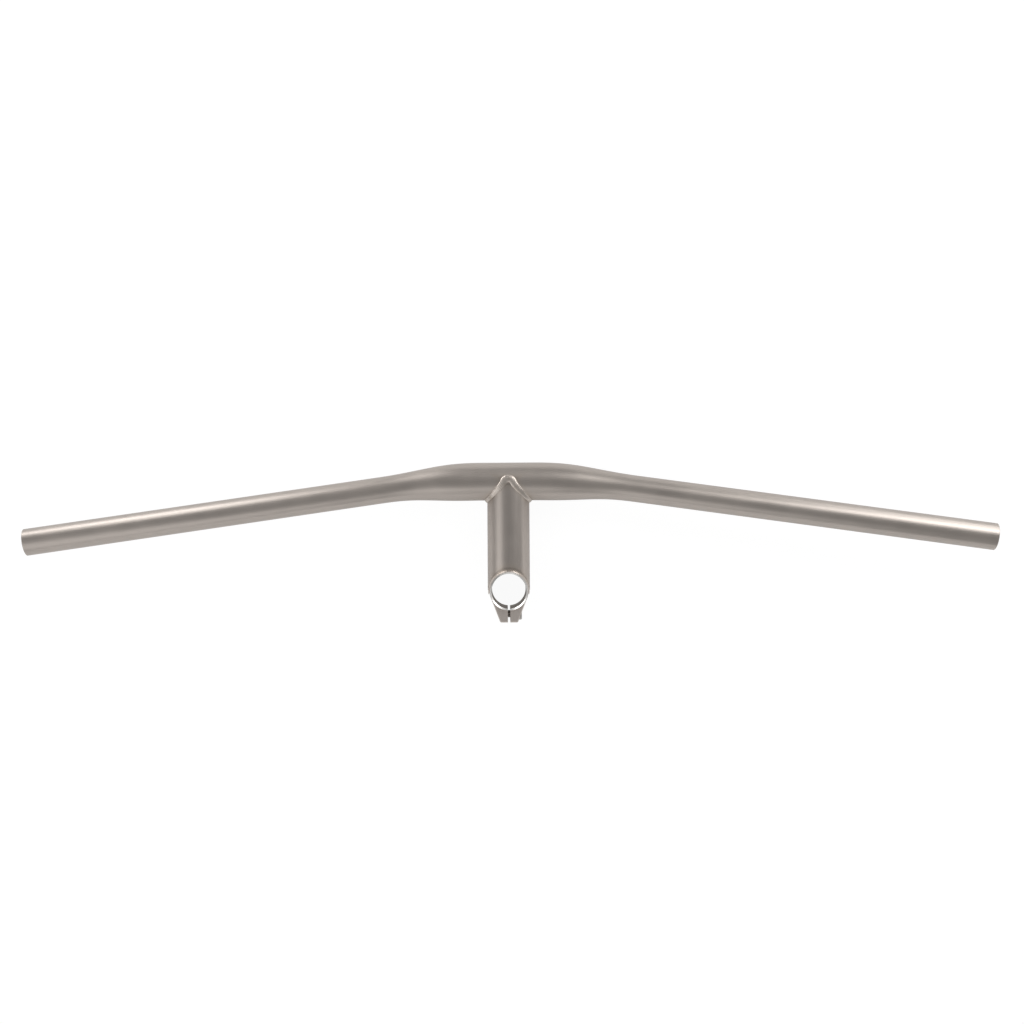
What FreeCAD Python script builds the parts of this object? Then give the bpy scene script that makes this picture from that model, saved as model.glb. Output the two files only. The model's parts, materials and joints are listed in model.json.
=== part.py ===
"""Integrated handlebar stem: a bent, tapered bar welded to a stem tube and a slotted steerer clamp.

The origin lies on the steerer axis, level with the clamp's foot. +Z runs up the steerer, +Y points
forward to the bar, +X to the rider's right. Lengths are in millimetres and angles in degrees.
"""
import FreeCAD, Part
import math
import os

V = FreeCAD.Vector
X_AXIS = V(1, 0, 0)
Y_AXIS = V(0, 1, 0)
Z_AXIS = V(0, 0, 1)

# Handlebar tube
BAR_WIDTH = 800.0            # tip to tip
BAR_CENTRE_DIA = 31.8        # full-size middle, where the stem is welded on
GRIP_DIA = 22.2              # arms, for grips and levers
BAR_WALL = 1.2
BAR_STRAIGHT_HALF = 20.0     # straight middle, to each side of the centre plane
BEND_RADIUS = 480.0
BACKSWEEP = 8.1              # seen from above
UPSWEEP = 4.5                # seen from the front
TAPER_START = 26.0           # along the centre line, from the centre plane
TAPER_LENGTH = 84.0
TAPER_SECTIONS = 15
BAR_END_BREAK = 0.3          # broken edges at the open ends

# Stem tube
STEM_LENGTH = 91.0           # steerer axis to bar axis, measured level
STEM_WIDTH = 35.4
STEM_HEIGHT = 32.6           # a little oval, so its top runs into the bar's
STEM_WALL = 1.5
STEM_SEAM = -35.0            # where the oval's face closes, between the corners of the welds

# Steerer clamp
STEERER_DIA = 28.6
STEERER_CLEARANCE = 0.05     # radial
CLAMP_WALL = 1.65
CLAMP_MARGIN = 3.3           # sleeve that stands past the stem's weld, above and below
RIM_WIDTH = 1.35             # bevel round the mouths of the bore, measured across the rim
RIM_DEPTH = 1.05             # measured down the bore
EAR_STAND = 10.0             # from the back of the sleeve to the ears' rear face
EAR_REAR_WIDTH = 14.4        # across both ears at the rear face, before rounding
EAR_INSET = 3.0              # from each rim of the sleeve to the ears
EAR_CORNER_RADIUS = 1.5
EAR_EDGE_BREAK = 0.7
SLOT_WIDTH = 2.0

# Pinch bolts
BOLT_COUNT = 2
BOLT_INSET = 8.5             # from the top and the bottom of the ears to the outermost bolts
BOLT_SETBACK = 5.65          # from the bore's wall to the bolts' plane
BOLT_DIA = 5.0
BOLT_LENGTH = 12.0           # under the head
BOLT_HEAD_DIA = 8.5
BOLT_HEAD_HEIGHT = 5.0
BOLT_EDGE_BREAK = 0.5
HEX_ACROSS_FLATS = 4.0
HEX_DEPTH = 2.5
EAR_GRIP = 4.6               # thickness of the right ear under the heads
BOLT_CLEARANCE = 0.25        # radial, in the right ear
HEAD_CLEARANCE = 0.5         # radial, round a head in its counterbore
THREAD_CLEARANCE = 0.02      # radial, between the thread and its tapped hole

# Weld beads
BAR_BEAD_RADIUS = 1.9
CLAMP_BEAD_RADIUS = 1.4
BEAD_OVERRUN = 1.6           # how far a bead runs past the axis of the tube that it crosses
BEAD_LIFT = 0.5              # share of the step at a tongue's end that lies under the bead's middle
BEAD_BEND = 3.2              # tightest radius of a bead's line over the end of a tongue
BEAD_STEP = 18.0             # turn from one corner of a bead's line to the next
CORNER_SHARE = 0.48          # share of a run that the arc at its end takes
BEAD_FOOT_GAP = 0.1          # the bar's lowest bead lies this far above the clamp's foot

bar_radius = BAR_CENTRE_DIA / 2
grip_radius = GRIP_DIA / 2
stem_half_width = STEM_WIDTH / 2
stem_half_height = STEM_HEIGHT / 2
bore_radius = STEERER_DIA / 2 + STEERER_CLEARANCE
clamp_radius = bore_radius + CLAMP_WALL
clamp_height = STEM_HEIGHT + 2 * (CLAMP_BEAD_RADIUS + CLAMP_MARGIN)
clamp_middle = V(0, 0, clamp_height / 2)
ear_reach = clamp_radius + EAR_STAND
ear_height = clamp_height - 2 * EAR_INSET
bolt_y = -bore_radius - BOLT_SETBACK
bolt_seat = SLOT_WIDTH / 2 + EAR_GRIP


def bead_quarter(through_radius, along_half, square_half):
    """Corners of a quarter of a weld's line, where the stem tube meets a tube that crosses it.

    A corner is (along the crossing tube, onward from the stem, square to both), from the crossing point
    of the axes. along_half and square_half are the stem's half sizes in two of those directions. The line
    follows the joint up one flank. Where the stem is the thicker tube it wraps the other with two
    tongues, and the line then arches half way over the end of one.
    """
    oval = along_half / square_half
    gap = square_half**2 - through_radius**2
    spread = 1 + oval**2
    tongue = BEAD_OVERRUN**2 + (oval**2 * gap - BEAD_OVERRUN**2) / spread
    tongue_start = math.sqrt(max(tongue, 0)) - BEAD_OVERRUN
    tight_start = math.sqrt(max(BEAD_BEND**2 / oval**2 - gap, 0) / spread)
    saddle_end = math.sqrt(max(-gap, 0))
    arch_start = -max(tongue_start, tight_start, saddle_end)
    arch_radius = oval * math.sqrt(gap + spread * arch_start**2)
    arch_turn = math.acos(min(-oval**2 * arch_start / arch_radius, 1))
    flank_turn = math.acos(-arch_start / through_radius)
    flank_corners = max(round(math.degrees(flank_turn) / BEAD_STEP), 1)
    arch_corners = round(math.degrees(arch_turn) / BEAD_STEP)
    corners = []
    for i in range(flank_corners):
        turn = flank_turn * (i + 0.5) / flank_corners
        onward = -through_radius * math.cos(turn)
        corners.append((oval * math.sqrt(gap + onward**2), onward, through_radius * math.sin(turn)))
    for i in range(arch_corners):
        turn = arch_turn * (1 - (i + 0.5) / arch_corners)
        along = arch_radius * math.sin(turn)
        onward = spread * arch_start + arch_radius * math.cos(turn)
        surface = math.sqrt(through_radius**2 - onward**2)
        step = square_half * math.sqrt(1 - (along / along_half)**2) - surface
        corners.append((along, onward, surface + BEAD_LIFT * step))
    return corners


bar_weld_quarter = bead_quarter(bar_radius, stem_half_width, stem_half_height)
clamp_weld_quarter = bead_quarter(clamp_radius, stem_half_height, stem_half_width)

# The bead under the bar is level with the clamp's foot, so the part lies flat.
bar_height = bar_weld_quarter[-1][2] + BAR_BEAD_RADIUS + BEAD_FOOT_GAP
bar_middle = V(0, STEM_LENGTH, bar_height)
stem_run = bar_middle - clamp_middle
stem_dir = V(stem_run).normalize()
stem_up = X_AXIS.cross(stem_dir)


def smooth_step(t):
    """Rise from 0 to 1 with level ends."""
    t = min(max(t, 0.0), 1.0)
    return t**3 * (10 - 15 * t + 6 * t**2)


def circle_wire(centre, normal, radius):
    return Part.Wire(Part.Circle(centre, normal, radius).toShape())


def cylinder(radius, length, base, axis, seam):
    """A cylinder whose face closes on the side that seam points to, away from the welds."""
    shape = Part.makeCylinder(radius, length)
    shape.Placement = FreeCAD.Placement(base, FreeCAD.Rotation(seam, V(0, 0, 0), axis, "ZXY"))
    return shape


# The bar's right half: its middle, one bend in a tilted plane, then a straight arm.
bend_side = V(0, -math.tan(math.radians(BACKSWEEP)), math.tan(math.radians(UPSWEEP)))
bend_angle = math.atan(bend_side.Length)
bend_side.normalize()
bend_end = BAR_STRAIGHT_HALF + BEND_RADIUS * bend_angle
taper_end = TAPER_START + TAPER_LENGTH
form_start = min(BAR_STRAIGHT_HALF, TAPER_START)
form_end = max(bend_end, taper_end)


def centre_line(s):
    """Point and direction of the bar's axis, at the distance s from the centre plane."""
    turn = min(max((s - BAR_STRAIGHT_HALF) / BEND_RADIUS, 0.0), bend_angle)
    direction = X_AXIS * math.cos(turn) + bend_side * math.sin(turn)
    point = bar_middle + X_AXIS * min(s, BAR_STRAIGHT_HALF)
    point = point + X_AXIS * (BEND_RADIUS * math.sin(turn))
    point = point + bend_side * (BEND_RADIUS * (1 - math.cos(turn)))
    return point + direction * max(s - bend_end, 0.0), direction


def outer_radius(s):
    return bar_radius + (grip_radius - bar_radius) * smooth_step((s - TAPER_START) / TAPER_LENGTH)


arm_root, arm_dir = centre_line(form_end)
# The far edge of the slanting end face lies on the bar's full half width.
arm_end_x = BAR_WIDTH / 2 - (grip_radius - BAR_END_BREAK) * math.sqrt(1 - arm_dir.x**2)
arm_length = (arm_end_x - arm_root.x) / arm_dir.x


def bar_form(inset, end_radius):
    """The bar's outer form drawn in by inset; its last rim narrows or widens to end_radius."""
    middle = cylinder(bar_radius - inset, form_start, bar_middle, X_AXIS, Y_AXIS)
    step = (form_end - form_start) / (TAPER_SECTIONS - 1)
    rings = []
    for i in range(TAPER_SECTIONS):
        s = form_start + i * step
        point, direction = centre_line(s)
        rings.append(circle_wire(point, direction, outer_radius(s) - inset))
    swage = Part.makeLoft(rings, True)
    arm = Part.makeCylinder(grip_radius - inset, arm_length - BAR_END_BREAK, arm_root, arm_dir)
    rim_root = arm_root + arm_dir * (arm_length - BAR_END_BREAK)
    rim = Part.makeCone(grip_radius - inset, end_radius, BAR_END_BREAK, rim_root, arm_dir)
    half = middle.fuse([swage, arm, rim])
    return half.fuse(half.mirror(bar_middle, X_AXIS)).removeSplitter()


def handlebar_tube(outer):
    inner = bar_form(BAR_WALL, grip_radius - BAR_WALL + BAR_END_BREAK)
    return outer.cut(inner)


def stem_form(inset):
    """The stem's oval outer form drawn in by inset, from axis to axis."""
    oval = Part.Ellipse(V(0, 0, 0), stem_half_width - inset, stem_half_height - inset)
    seam = math.radians(STEM_SEAM)
    rim = Part.Wire(Part.ArcOfEllipse(oval, seam, seam + 2 * math.pi).toShape())
    form = Part.Face(rim).extrude(V(0, 0, stem_run.Length))
    form.Placement = FreeCAD.Placement(clamp_middle, FreeCAD.Rotation(-X_AXIS, stem_up, stem_dir, "ZXY"))
    return form


def stem_tube(bar_outer, sleeve, stem_outer):
    """The tube between the two axes, coped round the bar and round the clamp."""
    return stem_outer.cut([stem_form(STEM_WALL), bar_outer, sleeve])


def ear_outline():
    """Outline of the ears and the stretch of sleeve behind the steerer axis, seen from above."""
    half = EAR_REAR_WIDTH / 2
    corner_reach = math.hypot(half, ear_reach)
    lean = math.asin(clamp_radius / corner_reach) - math.atan2(half, ear_reach)
    flank = V(math.sin(lean), math.cos(lean), 0)
    rear = V(half, -ear_reach, 0)
    touch = V(clamp_radius * math.cos(lean), -clamp_radius * math.sin(lean), 0)
    # The rounded rear corner: distance from the sharp corner to where the round begins.
    trim = EAR_CORNER_RADIUS * math.tan((math.pi / 2 - lean) / 2)
    on_rear = rear - X_AXIS * trim
    on_flank = rear + flank * trim
    round_centre = on_rear + V(0, EAR_CORNER_RADIUS, 0)
    to_corner = V(rear - round_centre).normalize()
    round_middle = round_centre + to_corner * EAR_CORNER_RADIUS

    def flip(p):
        return V(-p.x, p.y, p.z)

    edges = [
        Part.LineSegment(flip(on_rear), on_rear),
        Part.Arc(on_rear, round_middle, on_flank),
        Part.LineSegment(on_flank, touch),
        Part.Arc(touch, V(0, clamp_radius, 0), flip(touch)),
        Part.LineSegment(flip(touch), flip(on_flank)),
        Part.Arc(flip(on_flank), flip(round_middle), flip(on_rear)),
    ]
    return Part.Wire([edge.toShape() for edge in edges])


def ear_block():
    block = Part.Face(ear_outline()).extrude(V(0, 0, ear_height))
    block.translate(V(0, 0, EAR_INSET))
    rims = [edge for edge in block.Edges
            if abs(edge.tangentAt(edge.FirstParameter).z) < 0.5
            and edge.BoundBox.YMax < clamp_radius]
    return block.makeChamfer(EAR_EDGE_BREAK, rims)


def bolt_heights():
    spacing = (ear_height - 2 * BOLT_INSET) / max(BOLT_COUNT - 1, 1)
    first = (clamp_height - spacing * (BOLT_COUNT - 1)) / 2
    return [first + i * spacing for i in range(BOLT_COUNT)]


def steerer_clamp(sleeve):
    """A sleeve with two ears behind, bored, slotted, counterbored on the right and tapped on the left."""
    body = sleeve.fuse(ear_block()).removeSplitter()
    bore = Part.makeCylinder(bore_radius, clamp_height)
    mouth = Part.makeCone(bore_radius + RIM_WIDTH, bore_radius, RIM_DEPTH)
    top_mouth = mouth.mirror(clamp_middle, Z_AXIS)
    slot = Part.makeBox(SLOT_WIDTH, ear_reach, clamp_height, V(-SLOT_WIDTH / 2, -ear_reach, 0))
    cuts = [bore, mouth, top_mouth, slot]
    hole = BOLT_DIA / 2 + BOLT_CLEARANCE
    tapped = BOLT_DIA / 2 + THREAD_CLEARANCE
    recess = BOLT_HEAD_DIA / 2 + HEAD_CLEARANCE
    past_the_flank = 2 * clamp_radius
    for z in bolt_heights():
        axis_point = V(0, bolt_y, z)
        seat_point = V(bolt_seat, bolt_y, z)
        cuts.append(Part.makeCylinder(hole, bolt_seat, axis_point, X_AXIS))
        cuts.append(Part.makeCylinder(recess, past_the_flank, seat_point, X_AXIS))
        cuts.append(Part.makeCylinder(tapped, past_the_flank, axis_point, -X_AXIS))
    return body.cut(cuts)


def pinch_bolt(z):
    """A socket-head cap screw, put in from the right."""
    seat = V(bolt_seat, bolt_y, z)
    top = seat + X_AXIS * BOLT_HEAD_HEIGHT
    tip = seat - X_AXIS * BOLT_LENGTH
    straight = BOLT_HEAD_HEIGHT - BOLT_EDGE_BREAK
    head_radius = BOLT_HEAD_DIA / 2
    thread_radius = BOLT_DIA / 2
    shank_root = tip + X_AXIS * BOLT_EDGE_BREAK
    pieces = [
        Part.makeCylinder(head_radius, straight, seat, X_AXIS),
        Part.makeCone(head_radius, head_radius - BOLT_EDGE_BREAK, BOLT_EDGE_BREAK,
                      seat + X_AXIS * straight, X_AXIS),
        Part.makeCylinder(thread_radius, BOLT_LENGTH - BOLT_EDGE_BREAK, shank_root, X_AXIS),
        Part.makeCone(thread_radius - BOLT_EDGE_BREAK, thread_radius, BOLT_EDGE_BREAK, tip, X_AXIS),
    ]
    screw = pieces[0].fuse(pieces[1:]).removeSplitter()
    corner = HEX_ACROSS_FLATS / math.sqrt(3)
    corners = [top + V(0, corner * math.cos(k * math.pi / 3), corner * math.sin(k * math.pi / 3))
               for k in range(7)]
    socket = Part.Face(Part.makePolygon(corners)).extrude(X_AXIS * -HEX_DEPTH)
    return screw.cut(socket)


def rounded_wire(corners):
    """Straight runs from corner to corner, joined by tangent arcs."""
    edges = []
    last = corners[0]
    for before, corner, after in zip(corners, corners[1:], corners[2:]):
        reach = CORNER_SHARE * min((before - corner).Length, (after - corner).Length)
        back = (before - corner).normalize()
        ahead = (after - corner).normalize()
        half_turn = (math.pi - back.getAngle(ahead)) / 2
        inset = reach * math.tan(half_turn / 2)
        arc_middle = corner + (back + ahead).normalize() * inset
        edges.append(Part.LineSegment(last, corner + back * reach))
        edges.append(Part.Arc(corner + back * reach, arc_middle, corner + ahead * reach))
        last = corner + ahead * reach
    edges.append(Part.LineSegment(last, corners[-1]))
    return Part.Wire([edge.toShape() for edge in edges])


def bead(bead_radius, quarter, middle, along, onward, lean, neighbours):
    """A round weld bead where a tube crosses the stem, less the neighbours that it joins.

    along is the crossing tube's axis and onward runs on from the stem. lean shifts the bead for a
    crossing tube that isn't quite square to the stem.
    """
    side = along.cross(onward)
    half = [(quarter[0][0], quarter[0][1], 0.0)] + quarter
    half += [(-a, o, s) for a, o, s in reversed(half)]
    corners = [middle + along * a + onward * (o + lean * a) + side * s for a, o, s in half]
    section = circle_wire(corners[0], side, bead_radius)
    one_side = rounded_wire(corners).makePipeShell([section], True, False)
    for neighbour in neighbours:
        one_side = one_side.cut(neighbour)
    return one_side.fuse(one_side.mirror(middle, side))


def build():
    bar_outer = bar_form(0.0, grip_radius - BAR_END_BREAK)
    sleeve = cylinder(clamp_radius, clamp_height, V(0, 0, 0), Z_AXIS, -Y_AXIS)
    stem_outer = stem_form(0.0)
    nodes = {
        "handlebar_tube": handlebar_tube(bar_outer),
        "stem_tube": stem_tube(bar_outer, sleeve, stem_outer),
        "steerer_clamp": steerer_clamp(sleeve),
        "bar_weld": bead(BAR_BEAD_RADIUS, bar_weld_quarter, bar_middle, X_AXIS, stem_dir, 0.0,
                         [bar_outer, stem_outer]),
        "clamp_weld": bead(CLAMP_BEAD_RADIUS, clamp_weld_quarter, clamp_middle, stem_up, -stem_dir,
                           stem_up.y, [sleeve, stem_outer]),
        "pinch_bolts": Part.makeCompound([pinch_bolt(z) for z in bolt_heights()]),
    }
    os.makedirs("parts", exist_ok=True)
    for name, shape in nodes.items():
        shape.exportStep("parts/" + name + ".step")
        box = shape.BoundBox
        print(name, "solids", len(shape.Solids), "valid", shape.isValid(),
              "volume %.1f" % shape.Volume,
              "x %.2f %.2f y %.2f %.2f z %.2f %.2f" % (box.XMin, box.XMax, box.YMin, box.YMax,
                                                      box.ZMin, box.ZMax))


build()
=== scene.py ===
"""Looks of an integrated handlebar stem: bare satin titanium tubes, rippled welds and pinch bolts.

Lengths are in metres, in the frame of the solids: Z is the steerer's axis, +Y runs ahead to the bar
and +X to the rider's right.
"""
import json
import math
from types import SimpleNamespace

import bmesh
import bpy
from mathutils import Matrix, Vector


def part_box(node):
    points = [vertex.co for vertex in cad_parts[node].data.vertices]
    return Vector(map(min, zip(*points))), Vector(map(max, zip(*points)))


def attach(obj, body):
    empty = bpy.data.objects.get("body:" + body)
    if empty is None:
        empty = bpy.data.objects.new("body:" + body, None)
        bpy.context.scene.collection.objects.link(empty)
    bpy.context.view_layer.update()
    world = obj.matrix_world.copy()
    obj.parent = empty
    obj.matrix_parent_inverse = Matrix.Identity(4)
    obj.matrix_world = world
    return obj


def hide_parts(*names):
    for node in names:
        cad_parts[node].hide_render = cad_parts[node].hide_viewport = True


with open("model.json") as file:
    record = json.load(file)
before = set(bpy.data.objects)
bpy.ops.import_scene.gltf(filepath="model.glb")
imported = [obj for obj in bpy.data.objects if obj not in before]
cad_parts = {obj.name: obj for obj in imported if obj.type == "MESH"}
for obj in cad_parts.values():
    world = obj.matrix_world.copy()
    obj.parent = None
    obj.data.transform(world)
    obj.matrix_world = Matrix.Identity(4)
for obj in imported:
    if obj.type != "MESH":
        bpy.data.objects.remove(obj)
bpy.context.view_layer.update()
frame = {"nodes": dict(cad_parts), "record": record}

MM = 0.001
X_AXIS = Vector((1, 0, 0))
Z_AXIS = Vector((0, 0, 1))
mounts = {mount["name"]: mount for mount in frame["record"]["mounts"]}

# Handlebar tube, worked out from its grip mounts and its box
BAR_RADIUS = 15.9 * MM       # at the middle
BEND_RADIUS = 480 * MM
TAPER_START = 26 * MM        # along the bar, from the centre plane
TAPER_LENGTH = 84 * MM
END_BREAK = 0.3 * MM         # bevel at the edges of both ends
BAR_SEGMENTS = 96
ARM_RING_SPACING = 20 * MM
SWAGE_RING_SPACING = 2.5 * MM
SHARP_ANGLE = 35             # degrees: edges sharper than this are shaded as corners

grip_radius = mounts["right_grip"]["dims"]["r_mm"] * MM
bar_wall = grip_radius - mounts["right_bar_end"]["dims"]["r_mm"] * MM
arm_point = Vector(mounts["right_grip"]["pos_m"])
arm_dir = Vector(mounts["right_grip"]["axis"]).normalized()
bar_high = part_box("handlebar_tube")[1]
bar_y = bar_high.y - BAR_RADIUS
bend_corner = arm_point + arm_dir * ((bar_y - arm_point.y) / arm_dir.y)
bar_middle = Vector((0, bar_y, bend_corner.z))
bend_angle = arm_dir.angle(X_AXIS)
bend_side = (arm_dir - X_AXIS * arm_dir.x).normalized()
straight_half = bend_corner.x - BEND_RADIUS * math.tan(bend_angle / 2)
bend_end = straight_half + BEND_RADIUS * bend_angle
taper_end = TAPER_START + TAPER_LENGTH

# Stem tube and clamp
CLAMP_RADIUS = 16 * MM
STEM_HALF_HEIGHT = 16.3 * MM
stem_half_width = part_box("stem_tube")[1].x
clamp_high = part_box("steerer_clamp")[1]
clamp_middle = Vector((0, 0, clamp_high.z / 2))
stem_dir = (bar_middle - clamp_middle).normalized()
stem_up = X_AXIS.cross(stem_dir)

# Weld beads: reach along each tube in a square corner, then height and half width over a crown
BAR_BEAD = (1.9 * MM, 1.2 * MM, 3.3 * MM)
CLAMP_BEAD = (1.2 * MM, 0.6 * MM, 2.4 * MM)
FILLET_SPREAD = 1.35         # half width of a bead's oval in a square corner, as a share of its reach
BEAD_OVERRUN = 1.6 * MM      # how far a bead's line runs on past the axis of the tube that the stem crosses
BEAD_LIFT = 0.5              # height of the line on an arch, as a share of the step up to the stem
BEAD_ROOT = 0.4              # depth of a bead below its line, as a share of its height above
LINE_STEPS = 60              # fine steps of a quarter of a weld's line, on its flank and on its arch
RIPPLE_PITCH = 1.7 * MM
RIPPLE_DEPTH = 0.06          # as a share of the bead's size
RIPPLE_RINGS = 6             # rings in one ripple
RIPPLE_LAG = 0.9 * MM        # how far a ripple's crown trails behind its toes
BEAD_SEGMENTS = 20
BEAD_SHARP_ANGLE = 80

# Pinch bolts
BOLT_HEAD_RADIUS = 4.25 * MM
BOLT_HEAD_HEIGHT = 5 * MM
BOLT_RADIUS = 2.5 * MM
BOLT_EDGE_BREAK = 0.5 * MM
BOLT_UNDERCUT = 0.15 * MM    # bevel under the head
HEX_APOTHEM = 2 * MM
HEX_DEPTH = 2.5 * MM
HEX_MOUTH = 2.5 * MM         # radius of the round bevel at the socket's mouth
HEX_MOUTH_DEPTH = 0.25 * MM
THREAD_PITCH = 0.8 * MM
THREAD_DEPTH = 0.4 * MM
THREAD_RINGS = 8             # rings in one turn of the thread
BOLT_SEGMENTS = 48
bolts_low, bolts_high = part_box("pinch_bolts")
bolt_y = (bolts_low.y + bolts_high.y) / 2
bolt_tip = bolts_low.x
bolt_top = bolts_high.x
bolt_seat = bolt_top - BOLT_HEAD_HEIGHT
bolt_heights = (bolts_low.z + BOLT_HEAD_RADIUS, bolts_high.z - BOLT_HEAD_RADIUS)

# Colours, linear: a metal's blotches go from its dark to its light
TUBE_LIGHT = (0.55, 0.497, 0.455)
TUBE_DARK = (0.495, 0.447, 0.41)
# the clamp's titanium is painted lighter than the tubes': painted light on its flat faces
CLAMP_LIGHT = (0.76, 0.69, 0.635)
CLAMP_DARK = (0.69, 0.625, 0.575)
# the weld metal is painted lighter than the tubes: painted light on the beads' flanks
BEAD_LIGHT = (0.72, 0.65, 0.59)
BEAD_DARK = (0.6, 0.54, 0.49)
BOLT_LIGHT = (0.5, 0.48, 0.46)
BOLT_DARK = (0.42, 0.4, 0.38)
# partly the machined bevels' own brightness, partly a painted highlight
MACHINED_BEVEL_AND_HIGHLIGHT_TINT = (0.93, 0.91, 0.88)
# painted shade: the bore is tinted darker and browner than the clamp outside
BORE_SHADE_TINT = (0.33, 0.285, 0.24)
HEAT_TINT = (0.5, 0.42, 0.34)
# painted shade: the dark of the creases along the beads' toes and of the sockets' floors
PAINTED_SHADE_TINT = (0.16, 0.13, 0.11)

# Finishes: roughness of the smoothest and of the roughest spots, then strength of the grain's bump
TUBE_FINISH = (0.34, 0.4, 0.12)
CLAMP_FINISH = (0.42, 0.48, 0.12)
BEAD_FINISH = (0.32, 0.4, 0.15)
BOLT_FINISH = (0.24, 0.32, 0.1)
ALONG_STEM = 90              # degrees that turn the streaks from the bar's direction to the stem's

# Satin grain: each pattern's noise cells to a metre and octaves of detail
BLOTCHES = (45, 2)
STREAKS = (900, 2)
GRAINS = (1800, 1)
STREAK_STRETCH = 0.03        # a streak's width as a share of its length
BLOTCH_SHARE = 0.5           # shares of the three patterns in the shade
STREAK_SHARE = 0.3
GRAIN_SHARE = 0.2
STREAK_RELIEF = 0.4          # height of the streaks as a share of the grains'
GRAIN_RELIEF = 0.05 * MM
NOISE_LOW = 0.3              # shade and roughness run their whole range between these two noise values
NOISE_HIGH = 0.7

# Marks of the welding, and painted shade along the beads' toes, by the distance past a joint
HEAT_STRENGTH = 0.3
HEAT_START = 2 * MM
HEAT_END = 9 * MM
BAR_TOE_SHADE_STRENGTH = 0.15      # painted shade: the dark line in the crease along a bead's toe
STEM_TOE_SHADE_STRENGTH = 0.32
TOE_START = 1.4 * MM
TOE_MIDDLE = 2.6 * MM
TOE_END = 4.4 * MM
STRAW = (250, 1)             # straw patches on the beads: noise cells to a metre, octaves of detail
STRAW_LOW = 0.45
STRAW_HIGH = 0.75
STRAW_STRENGTH = 0.5

# Bevels, bore and sockets
RIM_WIDTH = 1.35 * MM        # bevels round the mouths of the bore
BEVEL_POLISH = 0.12          # how much smoother they are
SOCKET_SHADE = 0.8           # how dark a bolt's socket is at its floor
EDGE_EASE = 0.04 * MM        # half width of the step from one finish to the next
bore_radius = mounts["steerer_clamp"]["dims"]["r_mm"] * MM
rim_start = mounts["steerer_clamp"]["dims"]["length_mm"] * MM / 2
rim_radius = bore_radius + RIM_WIDTH

# Floor, light and camera
FLOOR_HALF = 60              # half the length of a side
FLOOR_DROP = 0.2 * MM
FLOOR_COLOUR = (0.95, 0.95, 0.95)
FLOOR_ROUGHNESS = 0.9
FLOOR_GLOW = 0.87            # share of the floor's own light in what the camera sees
MIRRORED_GLOW = 0.3          # the same share in what shines in the metal
GLOW_STRENGTH = 1.08
WORLD_LEVEL = 0.31
LIGHT_CENTRE = Vector((0, 50, 0)) * MM
SOFTBOXES = [                # name, bearing and tilt in degrees, distance, width, height, brightness
    ("rear_left", 225, 48, 1.5, 2.4, 1.1, 0.62),
    ("left", 262, 48, 1.5, 0.9, 0.9, 0.3),
    ("front_left", 335, 62, 1.5, 0.9, 0.7, 0.25),
    ("left_arm", 320, 66, 0.67, 0.28, 0.32, 1.45),
    ("front_right", 30, 42, 1.5, 0.8, 0.8, 0.4),
    ("right", 50, 51, 1.5, 0.6, 0.6, 1.4),
    ("right_arm", 49, 60, 0.98, 0.5, 0.5, 2.0),
    ("front_right_low", 45, 82, 1.5, 1.2, 0.36, 1.8),
    ("front_left_low", 315, 78, 1.5, 1.4, 0.5, 2.0),
    ("right_low", 90, 82, 1.5, 1.2, 0.36, 0.7),
    ("rear_low", 180, 82, 1.5, 1.6, 0.36, 0.6),
]
CAMERA_PLACE = Vector((-5, 65.35, 1088.5)) * MM
CAMERA_TURN = (0, math.radians(0.553), math.radians(-0.353))
CAMERA_LENS = 44.68          # on Blender's 36 mm sensor
CAMERA_SHIFT = 0.0213        # share of the picture's width that its centre lies off the lens's axis

# Sockets of Blender's Mix node that hold its share, its two colours and their mix
MIX_SHARE = 0
MIX_FIRST = 6
MIX_SECOND = 7
MIX_RESULT = 2


def smooth_step(t):
    """Eases from 0 to 1, level and without curvature at both ends."""
    t = min(max(t, 0), 1)
    return t**3 * (10 - 15 * t + 6 * t**2)


def bar_axis(s):
    """Point and direction of the bar's axis, at the signed distance s from the centre plane."""
    reach = abs(s)
    turn = min(max((reach - straight_half) / BEND_RADIUS, 0), bend_angle)
    direction = X_AXIS * math.cos(turn) + bend_side * math.sin(turn)
    point = bar_middle + X_AXIS * (min(reach, straight_half) + BEND_RADIUS * math.sin(turn))
    point += bend_side * (BEND_RADIUS * (1 - math.cos(turn))) + direction * max(reach - bend_end, 0)
    if s < 0:
        return Vector((-point.x, point.y, point.z)), Vector((direction.x, -direction.y, -direction.z))
    return point, direction


def bar_radius(s):
    """The bar's outer radius, at the signed distance s from the centre plane."""
    share = smooth_step((abs(s) - TAPER_START) / TAPER_LENGTH)
    return BAR_RADIUS + (grip_radius - BAR_RADIUS) * share


def ring_place(point, direction, half_width, height, outward):
    """Matrix that puts a unit ring square to direction, with its own Y turned outward."""
    across = outward.cross(direction).normalized()
    up = direction.cross(across)
    turn = Matrix((across * half_width, up * height, direction)).transposed()
    return Matrix.Translation(point) @ turn.to_4x4()


def ring_edges(ring):
    return list({edge for vert in ring for edge in vert.link_edges})


def extrude_ring(mesh, edges):
    """Extrudes a ring's edges in place, and returns the new ring's vertices and edges."""
    grown = bmesh.ops.extrude_edge_only(mesh, edges=edges)["geom"]
    ring = [part for part in grown if isinstance(part, bmesh.types.BMVert)]
    return ring, [part for part in grown if isinstance(part, bmesh.types.BMEdge)]


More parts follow.
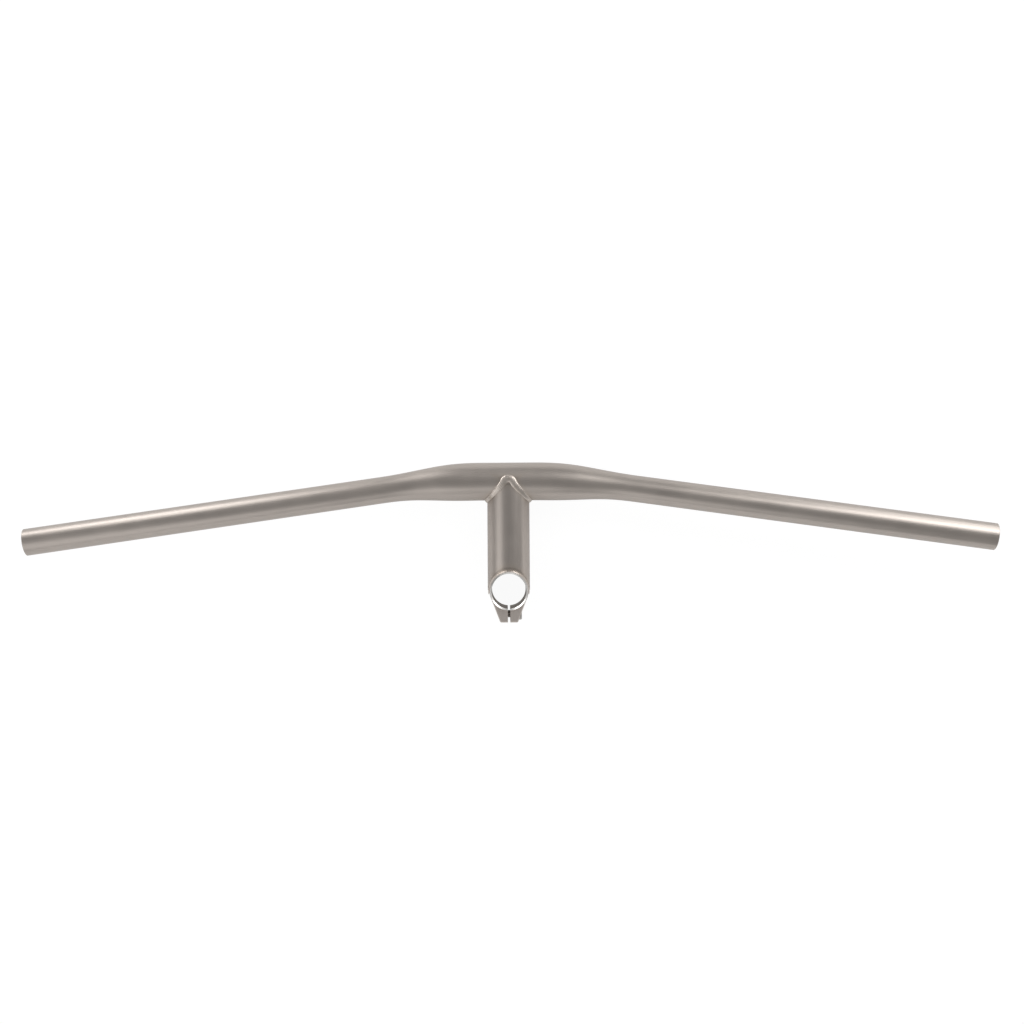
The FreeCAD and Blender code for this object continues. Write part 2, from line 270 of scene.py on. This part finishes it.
def sweep(mesh, places, segments, shape=None):
    """A closed skin through a ring at each place, with the last ring joined to the first."""
    ring = bmesh.ops.create_circle(mesh, segments=segments, radius=1)["verts"]
    if shape:
        shape(ring)
    bmesh.ops.transform(mesh, matrix=places[0], verts=ring)
    first_edges = ring_edges(ring)
    edges = first_edges
    for last, place in zip(places, places[1:]):
        ring, edges = extrude_ring(mesh, edges)
        bmesh.ops.transform(mesh, matrix=place @ last.inverted(), verts=ring)
    bmesh.ops.bridge_loops(mesh, edges=first_edges + edges)
    bmesh.ops.recalc_face_normals(mesh, faces=mesh.faces)


def finish_piece(mesh, name, material, node, sharp_angle=SHARP_ANGLE):
    """Turns a bmesh into a piece that stands for a node."""
    data = bpy.data.meshes.new(name)
    mesh.to_mesh(data)
    mesh.free()
    data.shade_smooth()
    data.set_sharp_from_angle(angle=math.radians(sharp_angle))
    data.materials.append(material)
    piece = bpy.data.objects.new(name, data)
    bpy.context.scene.collection.objects.link(piece)
    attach(piece, "root")
    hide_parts(node)


def spaced(start, end, spacing):
    """Evenly spaced distances from start up to, but not including, end."""
    count = max(round((end - start) / spacing), 1)
    return [start + (end - start) * i / count for i in range(count)]


def handlebar(material):
    """The swaged, bent tube: outer skin from the left end to the right, then its bore all the way back."""
    arm_slant = math.sqrt(1 - arm_dir.x**2)
    end_x = bar_high.x - (grip_radius - END_BREAK) * arm_slant
    bar_end = bend_end + (end_x - bar_axis(bend_end)[0].x) / arm_dir.x
    form_start = min(straight_half, TAPER_START)
    form_end = max(bend_end, taper_end)
    half = spaced(0, form_start, ARM_RING_SPACING) + spaced(form_start, form_end, SWAGE_RING_SPACING)
    half += spaced(form_end, bar_end - END_BREAK, ARM_RING_SPACING) + [bar_end - END_BREAK]
    stations = [-s for s in reversed(half[1:])] + half
    rings = [(-bar_end, -END_BREAK)]
    rings += [(s, 0) for s in stations]
    rings += [(bar_end, -END_BREAK), (bar_end, END_BREAK - bar_wall)]
    rings += [(s, -bar_wall) for s in reversed(stations)]
    rings += [(-bar_end, END_BREAK - bar_wall)]
    places = []
    for s, growth in rings:
        point, direction = bar_axis(s)
        radius = bar_radius(s) + growth
        places.append(ring_place(point, direction, radius, radius, Z_AXIS))
    mesh = bmesh.new()
    sweep(mesh, places, BAR_SEGMENTS)
    finish_piece(mesh, "handlebar", material, "handlebar_tube")


def weld_line(through_radius, along_half, square_half):
    """Closed line of a weld where the stem crosses a tube, as (along the tube, onward, square to both).

    along_half and square_half are the oval stem's half sizes in two of those directions. The line climbs
    one flank of the joint and arches over the end of a tongue of the stem, four times over.
    """
    oval = along_half / square_half
    gap = square_half**2 - through_radius**2
    turned = 1 + oval**2
    arch_start = BEAD_OVERRUN - math.sqrt(BEAD_OVERRUN**2 + (oval**2 * gap - BEAD_OVERRUN**2) / turned)
    arch_radius = BEAD_OVERRUN - turned * arch_start
    arch_turn = math.acos(-oval**2 * arch_start / arch_radius)
    flank_turn = math.acos(-arch_start / through_radius)
    quarter = []
    for i in range(LINE_STEPS):
        turn = flank_turn * i / LINE_STEPS
        onward = -through_radius * math.cos(turn)
        quarter.append(Vector((oval * math.sqrt(gap + onward**2), onward, through_radius * math.sin(turn))))
    for i in range(LINE_STEPS + 1):
        turn = arch_turn * (1 - i / LINE_STEPS)
        along = arch_radius * math.sin(turn)
        onward = turned * arch_start + arch_radius * math.cos(turn)
        surface = math.sqrt(through_radius**2 - onward**2)
        step = square_half * math.sqrt(1 - (along / along_half)**2) - surface
        quarter.append(Vector((along, onward, surface + BEAD_LIFT * step)))
    half = quarter + [Vector((-p.x, p.y, p.z)) for p in reversed(quarter[:-1])]
    return half + [Vector((p.x, p.y, -p.z)) for p in reversed(half[1:-1])]


def evenly_along(line, count_for):
    """Points evenly spaced along a closed line; count_for gives their number from the line's length."""
    closed = line + [line[0]]
    lengths = [0]
    for a, b in zip(closed, closed[1:]):
        lengths.append(lengths[-1] + (b - a).length)
    count = count_for(lengths[-1])
    points = []
    run = 0
    for i in range(count):
        distance = lengths[-1] * i / count
        while lengths[run + 1] < distance:
            run += 1
        share = (distance - lengths[run]) / (lengths[run + 1] - lengths[run])
        points.append(closed[run].lerp(closed[run + 1], share))
    return points


def bead_section(ring):
    """Flattens a bead's buried half and bows its crown back along the line."""
    for vert in ring:
        if vert.co.y < 0:
            vert.co.y *= BEAD_ROOT
        else:
            vert.co.z -= RIPPLE_LAG * vert.co.y


def weld(name, node, bead, joint, middle, along, onward, lean, material):
    """A rippled bead round the joint of the stem and the tube that it crosses.

    joint is that tube's radius and the stem's half sizes along the tube and square to it. The bead is a
    flat fillet where the two surfaces meet squarely, and a low dome where one runs on into the other.
    """
    reach, crown_height, crown_width = bead
    through_radius, along_half, square_half = joint
    side = along.cross(onward)
    to_frame = Matrix((along, onward, side)).transposed()
    line = evenly_along(weld_line(through_radius, along_half, square_half),
                        lambda length: round(length / RIPPLE_PITCH) * RIPPLE_RINGS)
    places = []
    for i, point in enumerate(line):
        ahead = (line[(i + 1) % len(line)] - line[i - 1]).normalized()
        from_stem = Vector((point.x / along_half**2, 0, point.z / square_half**2)).normalized()
        from_tube = Vector((0, point.y, point.z)).normalized()
        outward = from_stem + from_tube
        phase = (i % RIPPLE_RINGS) / RIPPLE_RINGS
        ripple = 1 - RIPPLE_DEPTH * (1 - math.sin(math.pi * phase))
        half_corner = from_stem.angle(from_tube) / 2
        squareness = math.sin(half_corner) / math.sin(math.pi / 4)
        height = math.hypot(crown_height, reach * math.sin(half_corner))
        half_width = crown_width + (FILLET_SPREAD * reach - crown_width) * squareness
        place = middle + to_frame @ point + onward * (lean * point.x)
        places.append(ring_place(place, to_frame @ ahead, half_width * ripple, height * ripple,
                                 to_frame @ outward))
    mesh = bmesh.new()
    sweep(mesh, places, BEAD_SEGMENTS, bead_section)
    finish_piece(mesh, name, material, node, BEAD_SHARP_ANGLE)


def round_ring(radius):
    """The same radius at every angle."""
    return lambda angle: radius


def hex_ring(apothem):
    """Radius of a hexagon at an angle, with corners at whole sixths of a turn."""
    sixth = math.pi / 3
    return lambda angle: apothem / math.cos(angle % sixth - sixth / 2)


def thread_ring(turns):
    """Radius of a thread at an angle, a number of turns along it."""
    def radius(angle):
        phase = (turns + angle / math.tau) % 1
        return BOLT_RADIUS - THREAD_DEPTH * abs(2 * phase - 1)
    return radius


def lathe(mesh, stations, middle):
    """A closed skin round the X direction, through a shaped ring at each station."""
    turn = Matrix.Rotation(math.pi / 2, 4, "Y")
    ring = bmesh.ops.create_circle(mesh, segments=BOLT_SEGMENTS, radius=1, matrix=turn)["verts"]
    first_edges = ring_edges(ring)
    edges = first_edges
    skin = list(ring)
    for i, (x, radius) in enumerate(stations):
        if i:
            ring, edges = extrude_ring(mesh, edges)
            skin += ring
        for vert in ring:
            angle = math.atan2(vert.co.z, vert.co.y)
            reach = radius(angle)
            vert.co = (x, reach * math.cos(angle), reach * math.sin(angle))
    bmesh.ops.edgeloop_fill(mesh, edges=first_edges)
    bmesh.ops.edgeloop_fill(mesh, edges=edges)
    bmesh.ops.translate(mesh, verts=skin, vec=middle)


def bolts(material):
    """Two socket-head cap screws, threaded up to the head."""
    thread_start = bolt_tip + BOLT_EDGE_BREAK
    thread_length = bolt_seat - thread_start
    rings = round(thread_length / THREAD_PITCH * THREAD_RINGS)
    stations = [(bolt_tip, round_ring(BOLT_RADIUS - BOLT_EDGE_BREAK))]
    for i in range(rings + 1):
        stations.append((thread_start + thread_length * i / rings, thread_ring(i / THREAD_RINGS)))
    stations += [
        (bolt_seat, round_ring(BOLT_HEAD_RADIUS - BOLT_UNDERCUT)),
        (bolt_seat + BOLT_UNDERCUT, round_ring(BOLT_HEAD_RADIUS)),
        (bolt_top - BOLT_EDGE_BREAK, round_ring(BOLT_HEAD_RADIUS)),
        (bolt_top, round_ring(BOLT_HEAD_RADIUS - BOLT_EDGE_BREAK)),
        (bolt_top, round_ring(HEX_MOUTH)),
        (bolt_top - HEX_MOUTH_DEPTH, hex_ring(HEX_APOTHEM)),
        (bolt_top - HEX_DEPTH, hex_ring(HEX_APOTHEM)),
    ]
    mesh = bmesh.new()
    for z in bolt_heights:
        lathe(mesh, stations, (0, bolt_y, z))
    bmesh.ops.recalc_face_normals(mesh, faces=mesh.faces)
    finish_piece(mesh, "cap_screws", material, "pinch_bolts")


def add(tree, kind, **settings):
    """A new node with some of its properties set."""
    made = tree.nodes.new(kind)
    for key, value in settings.items():
        setattr(made, key, value)
    return made


def feed(tree, socket, value):
    """Links a socket to another node's output, or sets its constant."""
    if isinstance(value, bpy.types.NodeSocket):
        tree.links.new(value, socket)
    else:
        socket.default_value = value


def calc(tree, operation, first, second=0.0):
    """A sum, product or the like of two outputs or numbers."""
    made = add(tree, "ShaderNodeMath", operation=operation)
    feed(tree, made.inputs[0], first)
    feed(tree, made.inputs[1], second)
    return made.outputs["Value"]


def spread(tree, value, low, high, at_low, at_high):
    """Eases from at_low to at_high while value goes from low to high."""
    made = add(tree, "ShaderNodeMapRange", interpolation_type="SMOOTHSTEP")
    for name, given in (("Value", value), ("From Min", low), ("From Max", high),
                        ("To Min", at_low), ("To Max", at_high)):
        feed(tree, made.inputs[name], given)
    return made.outputs["Result"]


def noise(tree, vector, scale, detail):
    """A soft random pattern, from its cells to a metre and its octaves of detail."""
    made = add(tree, "ShaderNodeTexNoise")
    feed(tree, made.inputs["Vector"], vector)
    made.inputs["Scale"].default_value = scale
    made.inputs["Detail"].default_value = detail
    return made.outputs[0]


def blend(tree, share, first, second):
    """Mixes two colours."""
    made = add(tree, "ShaderNodeMix", data_type="RGBA")
    feed(tree, made.inputs[MIX_SHARE], share)
    feed(tree, made.inputs[MIX_FIRST], first)
    feed(tree, made.inputs[MIX_SECOND], second)
    return made.outputs[MIX_RESULT]


def offset_from(tree, vector, point):
    """The vector that leads from a point to the shaded place."""
    offset = add(tree, "ShaderNodeVectorMath", operation="SUBTRACT")
    feed(tree, offset.inputs[0], vector)
    offset.inputs[1].default_value = point
    return offset.outputs[0]


def parts_of(tree, vector):
    """The X, Y and Z outputs of a vector."""
    parts = add(tree, "ShaderNodeSeparateXYZ")
    feed(tree, parts.inputs[0], vector)
    return parts.outputs


def away(tree, vector, plane, point):
    """Distance from a line square to a plane of two axes, such as "XY", through a point."""
    flat = add(tree, "ShaderNodeVectorMath", operation="MULTIPLY")
    feed(tree, flat.inputs[0], offset_from(tree, vector, point))
    flat.inputs[1].default_value = [float(axis in plane) for axis in "XYZ"]
    size = add(tree, "ShaderNodeVectorMath", operation="LENGTH")
    feed(tree, size.inputs[0], flat.outputs[0])
    return size.outputs["Value"]


def past_surface(tree, along, square, along_half, square_half):
    """How far a point on one tube lies past the surface of the other, measured along the first."""
    share = calc(tree, "DIVIDE", square, square_half)
    left = calc(tree, "SUBTRACT", 1.0, calc(tree, "MULTIPLY", share, share))
    left = calc(tree, "MAXIMUM", left, 0.0)
    depth = calc(tree, "MULTIPLY", calc(tree, "SQRT", left), along_half)
    return calc(tree, "SUBTRACT", calc(tree, "ABSOLUTE", along), depth)


def new_group(name, inputs, outputs):
    """A node group with its sockets, as (group, its input node, its output node)."""
    group = bpy.data.node_groups.new(name, "ShaderNodeTree")
    for socket, kind in inputs:
        group.interface.new_socket(socket, in_out="INPUT", socket_type=kind)
    for socket in outputs:
        group.interface.new_socket(socket, in_out="OUTPUT", socket_type="NodeSocketFloat")
    return group, add(group, "NodeGroupInput"), add(group, "NodeGroupOutput")


def grain_group():
    """Blasted metal: soft blotches, streaks along the X direction and fine grains."""
    group, taken, given = new_group("satin_grain", [("Vector", "NodeSocketVector")],
                                    ["Shade", "Roughness", "Height"])
    vector = taken.outputs["Vector"]
    stretch = add(group, "ShaderNodeMapping")
    feed(group, stretch.inputs["Vector"], vector)
    stretch.inputs["Scale"].default_value = (STREAK_STRETCH, 1, 1)
    blotch = noise(group, vector, *BLOTCHES)
    streak = noise(group, stretch.outputs[0], *STREAKS)
    grain = noise(group, vector, *GRAINS)
    shade = calc(group, "ADD", calc(group, "MULTIPLY", blotch, BLOTCH_SHARE),
                 calc(group, "MULTIPLY", streak, STREAK_SHARE))
    shade = calc(group, "ADD", shade, calc(group, "MULTIPLY", grain, GRAIN_SHARE))
    roughness = calc(group, "DIVIDE", calc(group, "ADD", blotch, grain), 2.0)
    height = calc(group, "ADD", grain, calc(group, "MULTIPLY", streak, STREAK_RELIEF))
    feed(group, given.inputs["Shade"], shade)
    feed(group, given.inputs["Roughness"], roughness)
    feed(group, given.inputs["Height"], height)
    return group


def heat_and_toe_shade_group():
    """Tint that the welding leaves, and painted shade in the crease along the bead's toe, from the distance
    past the joint along the tube.
    """
    group, taken, given = new_group("weld_heat_and_toe_shade", [("Distance", "NodeSocketFloat")], ["Heat", "ToeShade"])
    distance = taken.outputs["Distance"]
    feed(group, given.inputs["Heat"], spread(group, distance, HEAT_START, HEAT_END, 1.0, 0.0))
    rise = spread(group, distance, TOE_START, TOE_MIDDLE, 0.0, 1.0)
    fall = spread(group, distance, TOE_MIDDLE, TOE_END, 1.0, 0.0)
    feed(group, given.inputs["ToeShade"], calc(group, "MULTIPLY", rise, fall))
    return group


satin_grain = grain_group()
weld_heat_and_toe_shade = heat_and_toe_shade_group()


def use_group(tree, group):
    return add(tree, "ShaderNodeGroup", node_tree=group)


def principled(name):
    """A new material and its principled shader."""
    material = bpy.data.materials.new(name)
    material.use_nodes = True
    return material, material.node_tree.nodes["Principled BSDF"]


def grained_metal(name, light, dark, finish, turn=0):
    """Bare metal with the satin grain, its streaks turned about Z by some degrees.

    Returns the material with its node tree and shader, the object's coordinates, and the colour and
    roughness so far.
    """
    material, shader = principled(name)
    smooth, rough, bump = finish
    tree = material.node_tree
    vector = add(tree, "ShaderNodeTexCoord").outputs["Object"]
    turned = add(tree, "ShaderNodeMapping")
    feed(tree, turned.inputs["Vector"], vector)
    turned.inputs["Rotation"].default_value = (0, 0, math.radians(turn))
    grain = use_group(tree, satin_grain)
    feed(tree, grain.inputs["Vector"], turned.outputs[0])
    shade = spread(tree, grain.outputs["Shade"], NOISE_LOW, NOISE_HIGH, 0.0, 1.0)
    colour = blend(tree, shade, (*dark, 1), (*light, 1))
    roughness = spread(tree, grain.outputs["Roughness"], NOISE_LOW, NOISE_HIGH, smooth, rough)
    relief = add(tree, "ShaderNodeBump")
    relief.inputs["Strength"].default_value = bump
    relief.inputs["Distance"].default_value = GRAIN_RELIEF
    feed(tree, relief.inputs["Height"], grain.outputs["Height"])
    feed(tree, shader.inputs["Normal"], relief.outputs[0])
    shader.inputs["Metallic"].default_value = 1
    feed(tree, shader.inputs["Base Color"], colour)
    feed(tree, shader.inputs["Roughness"], roughness)
    return SimpleNamespace(material=material, tree=tree, shader=shader, vector=vector,
                           colour=colour, roughness=roughness)


def add_heat_and_toe_shade(metal, distance, toe_shade_strength):
    """Tints a metal by its distance from a weld: the welding's heat tint, and painted shade along the
    bead's toe.
    """
    heat = use_group(metal.tree, weld_heat_and_toe_shade)
    feed(metal.tree, heat.inputs["Distance"], distance)
    warmth = calc(metal.tree, "MULTIPLY", heat.outputs["Heat"], HEAT_STRENGTH)
    warm = blend(metal.tree, warmth, metal.colour, (*HEAT_TINT, 1))
    toe_shade_share = calc(metal.tree, "MULTIPLY", heat.outputs["ToeShade"], toe_shade_strength)
    toe = blend(metal.tree, toe_shade_share, warm, (*PAINTED_SHADE_TINT, 1))
    feed(metal.tree, metal.shader.inputs["Base Color"], toe)


def bar_metal():
    """The handlebar's tube, heated where the stem joins its rear half, with painted shade along the weld's
    toe.
    """
    metal = grained_metal("bar_titanium", TUBE_LIGHT, TUBE_DARK, TUBE_FINISH)
    tree = metal.tree
    way = parts_of(tree, offset_from(tree, metal.vector, bar_middle))
    past_axis = calc(tree, "MAXIMUM", way["Y"], 0.0)
    from_stem = past_surface(tree, way["X"], way["Z"], stem_half_width, STEM_HALF_HEIGHT)
    add_heat_and_toe_shade(metal, calc(tree, "MAXIMUM", from_stem, past_axis), BAR_TOE_SHADE_STRENGTH)
    return metal.material


def stem_metal():
    """The stem's tube, heated at both of its ends, with painted shade along the welds' toes."""
    metal = grained_metal("stem_titanium", TUBE_LIGHT, TUBE_DARK, TUBE_FINISH, ALONG_STEM)
    tree = metal.tree
    bar_way = parts_of(tree, offset_from(tree, metal.vector, bar_middle))
    clamp_way = parts_of(tree, offset_from(tree, metal.vector, clamp_middle))
    from_bar = past_surface(tree, bar_way["Y"], bar_way["Z"], BAR_RADIUS, BAR_RADIUS)
    from_clamp = past_surface(tree, clamp_way["Y"], clamp_way["X"], CLAMP_RADIUS, CLAMP_RADIUS)
    add_heat_and_toe_shade(metal, calc(tree, "MINIMUM", from_bar, from_clamp), STEM_TOE_SHADE_STRENGTH)
    return metal.material


def clamp_metal():
    """The clamp: satin outside, painted lighter than the tubes as painted light; bright bevels at the
    mouths of the bore, partly a painted highlight; and a dull brown bore, which is painted shade.
    """
    metal = grained_metal("clamp_titanium", CLAMP_LIGHT, CLAMP_DARK, CLAMP_FINISH, ALONG_STEM)
    tree = metal.tree
    radius = away(tree, metal.vector, "XY", clamp_middle)
    height = calc(tree, "SUBTRACT", parts_of(tree, metal.vector)["Z"], clamp_middle.z)
    from_middle = calc(tree, "ABSOLUTE", height)
    near_rim = spread(tree, from_middle, rim_start - EDGE_EASE, rim_start + EDGE_EASE, 0.0, 1.0)
    near_bore = spread(tree, radius, rim_radius - EDGE_EASE, rim_radius + EDGE_EASE, 1.0, 0.0)
    bevel = calc(tree, "MULTIPLY", near_rim, near_bore)
    below_rim = calc(tree, "SUBTRACT", 1.0, near_rim)
    # painted shade inside the bore, below the bevels
    painted_bore_shade = spread(tree, radius, bore_radius + EDGE_EASE, bore_radius + 2 * EDGE_EASE, 1.0, 0.0)
    painted_bore_shade = calc(tree, "MULTIPLY", painted_bore_shade, below_rim)
    # the bevels, tinted near white: partly a painted highlight
    colour = blend(tree, bevel, metal.colour, (*MACHINED_BEVEL_AND_HIGHLIGHT_TINT, 1))
    colour = blend(tree, painted_bore_shade, colour, (*BORE_SHADE_TINT, 1))
    polish = calc(tree, "MULTIPLY", bevel, BEVEL_POLISH)
    feed(tree, metal.shader.inputs["Base Color"], colour)
    feed(tree, metal.shader.inputs["Roughness"], calc(tree, "SUBTRACT", metal.roughness, polish))
    return metal.material


def bead_metal():
    """Weld metal, painted a little brighter than the tubes as painted light on its flanks, with patches of
    straw colour.
    """
    metal = grained_metal("weld_titanium", BEAD_LIGHT, BEAD_DARK, BEAD_FINISH)
    patches = noise(metal.tree, metal.vector, *STRAW)
    straw = spread(metal.tree, patches, STRAW_LOW, STRAW_HIGH, 0.0, STRAW_STRENGTH)
    colour = blend(metal.tree, straw, metal.colour, (*HEAT_TINT, 1))
    feed(metal.tree, metal.shader.inputs["Base Color"], colour)
    return metal.material


def bolt_metal():
    """The screws, with painted shade down in their sockets."""
    metal = grained_metal("bolt_titanium", BOLT_LIGHT, BOLT_DARK, BOLT_FINISH)
    tree = metal.tree
    x = parts_of(tree, metal.vector)["X"]
    deep = spread(tree, x, bolt_top - HEX_DEPTH, bolt_top - HEX_MOUTH_DEPTH, SOCKET_SHADE, 0.0)
    from_axes = [away(tree, metal.vector, "YZ", (0, bolt_y, z)) for z in bolt_heights]
    radius = calc(tree, "MINIMUM", *from_axes)
    inside = spread(tree, radius, HEX_MOUTH, HEX_MOUTH + EDGE_EASE, 1.0, 0.0)
    in_head = spread(tree, x, bolt_seat, bolt_seat + EDGE_EASE, 0.0, 1.0)
    share = calc(tree, "MULTIPLY", calc(tree, "MULTIPLY", deep, inside), in_head)
    feed(tree, metal.shader.inputs["Base Color"], blend(tree, share, metal.colour, (*PAINTED_SHADE_TINT, 1)))
    return metal.material


def paint_node(node, material):
    """Gives its finish to a node that shows as it is."""
    data = frame["nodes"][node].data
    data.materials.clear()
    data.materials.append(material)


def floor():
    """A white floor that shines to the camera and in the metal, so that only a faint shadow stays on it."""
    material, shader = principled("white_floor")
    tree = material.node_tree
    shader.inputs["Base Color"].default_value = (*FLOOR_COLOUR, 1)
    shader.inputs["Roughness"].default_value = FLOOR_ROUGHNESS
    shader.inputs["Specular IOR Level"].default_value = 0
    glow = add(tree, "ShaderNodeEmission")
    glow.inputs["Strength"].default_value = GLOW_STRENGTH
    path = add(tree, "ShaderNodeLightPath")
    seen = calc(tree, "MULTIPLY", path.outputs["Is Camera Ray"], FLOOR_GLOW)
    mirrored = calc(tree, "MAXIMUM", path.outputs["Is Glossy Ray"], path.outputs["Is Transmission Ray"])
    mirrored = calc(tree, "MULTIPLY", mirrored, MIRRORED_GLOW)
    mixed = add(tree, "ShaderNodeMixShader")
    feed(tree, mixed.inputs[0], calc(tree, "ADD", seen, mirrored))
    feed(tree, mixed.inputs[1], shader.outputs[0])
    feed(tree, mixed.inputs[2], glow.outputs[0])
    feed(tree, tree.nodes["Material Output"].inputs["Surface"], mixed.outputs[0])
    mesh = bmesh.new()
    bmesh.ops.create_grid(mesh, x_segments=1, y_segments=1, size=FLOOR_HALF)
    bmesh.ops.translate(mesh, verts=mesh.verts, vec=(0, 0, -FLOOR_DROP))
    data = bpy.data.meshes.new("floor")
    mesh.to_mesh(data)
    mesh.free()
    data.materials.append(material)
    plane = bpy.data.objects.new("floor", data)
    bpy.context.scene.collection.objects.link(plane)


def softbox(name, bearing, tilt, distance, width, height, brightness):
    """A soft rectangular light, at a bearing clockwise from straight ahead and a tilt from overhead."""
    turn = math.radians(bearing)
    lean = math.radians(tilt)
    outward = Vector((math.sin(lean) * math.sin(turn), math.sin(lean) * math.cos(turn), math.cos(lean)))
    light = bpy.data.lights.new(name, "AREA")
    light.shape = "RECTANGLE"
    light.size = width
    light.size_y = height
    light.energy = brightness * math.pi * width * height
    lamp = bpy.data.objects.new(name, light)
    lamp.location = LIGHT_CENTRE + outward * distance
    lamp.rotation_euler = outward.to_track_quat("Z", "Y").to_euler()
    lamp.visible_camera = False
    bpy.context.scene.collection.objects.link(lamp)


def studio():
    """Dim light from all round, and the softboxes."""
    world = bpy.data.worlds.new("studio")
    world.use_nodes = True
    background = world.node_tree.nodes["Background"]
    background.inputs["Color"].default_value = (WORLD_LEVEL, WORLD_LEVEL, WORLD_LEVEL, 1)
    bpy.context.scene.world = world
    for settings in SOFTBOXES:
        softbox(*settings)


def camera():
    """The photo's view, almost straight down."""
    view = bpy.data.cameras.new("photo_camera")
    view.lens = CAMERA_LENS
    view.shift_x = CAMERA_SHIFT
    eye = bpy.data.objects.new("photo_camera", view)
    eye.location = CAMERA_PLACE
    eye.rotation_euler = CAMERA_TURN
    bpy.context.scene.collection.objects.link(eye)
    bpy.context.scene.camera = eye


# The object
handlebar(bar_metal())
beads = bead_metal()
bar_joint = (BAR_RADIUS, stem_half_width, STEM_HALF_HEIGHT)
clamp_joint = (CLAMP_RADIUS, STEM_HALF_HEIGHT, stem_half_width)
weld("bar_weld_bead", "bar_weld", BAR_BEAD, bar_joint, bar_middle, X_AXIS, stem_dir, 0, beads)
weld("clamp_weld_bead", "clamp_weld", CLAMP_BEAD, clamp_joint, clamp_middle, stem_up, -stem_dir,
     stem_up.y, beads)
bolts(bolt_metal())
paint_node("stem_tube", stem_metal())
paint_node("steerer_clamp", clamp_metal())

# Its studio
floor()
studio()
camera()
bpy.context.scene.view_settings.view_transform = "Standard"
